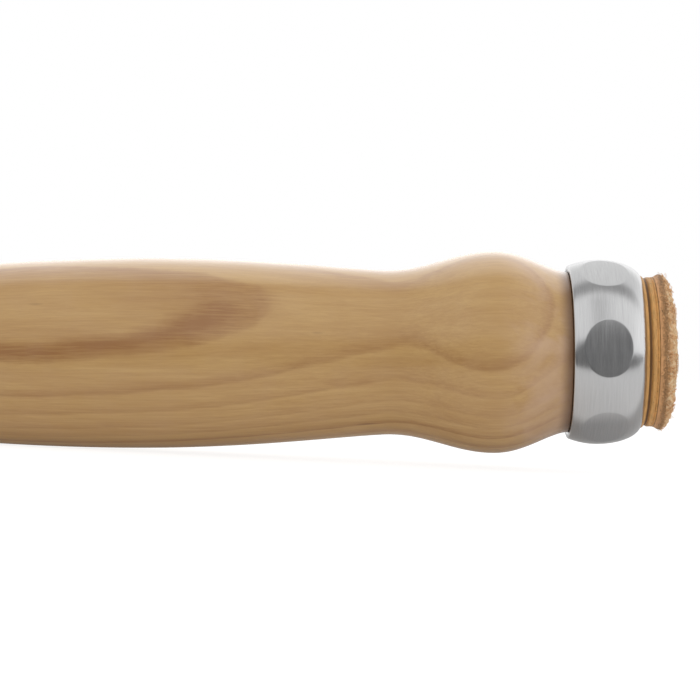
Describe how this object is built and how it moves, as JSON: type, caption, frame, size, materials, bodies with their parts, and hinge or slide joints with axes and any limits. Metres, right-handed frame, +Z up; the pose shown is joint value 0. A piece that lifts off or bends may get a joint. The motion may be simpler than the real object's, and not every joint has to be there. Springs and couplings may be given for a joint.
{
  "type": "carving gouge",
  "caption": "Heavy mallet-struck carving gouge: U-section blade, turned hardwood grip, steel ferrule, steel striking hoop with ground flats and a leather strike pad.",
  "frame": {"origin": "centre of the strike face, on the tool's axis", "axes": "+X out of the strike face along the tool's axis, -X towards the cutting edge, +Z up from the back of the blade, whose hollow faces down as the tool lies"},
  "size_m": [0.3805, 0.0403, 0.0402],
  "materials": {
    "blade_steel": "forged and ground, satin",
    "buffer_leather": "oiled veg-tanned sole leather",
    "ferrule_steel": "turned, satin",
    "lacquered_wood": "clear lacquer over pale figured hardwood",
    "hoop_steel": "brushed round the hoop, flats ground smooth",
    "pad_leather": "cut and burnished edge",
    "beaten_leather": "spread and frayed by mallet blows"
  },
  "bodies": {
    "root": {"gouge_blade": "blade_steel", "buffer_washer": "buffer_leather", "ferrule": "ferrule_steel", "grip": "lacquered_wood", "striking_hoop": "hoop_steel", "inner_pad_washer": "pad_leather", "middle_pad_washer": "pad_leather", "outer_pad_washer": "beaten_leather"}
  },
  "joints": []
}
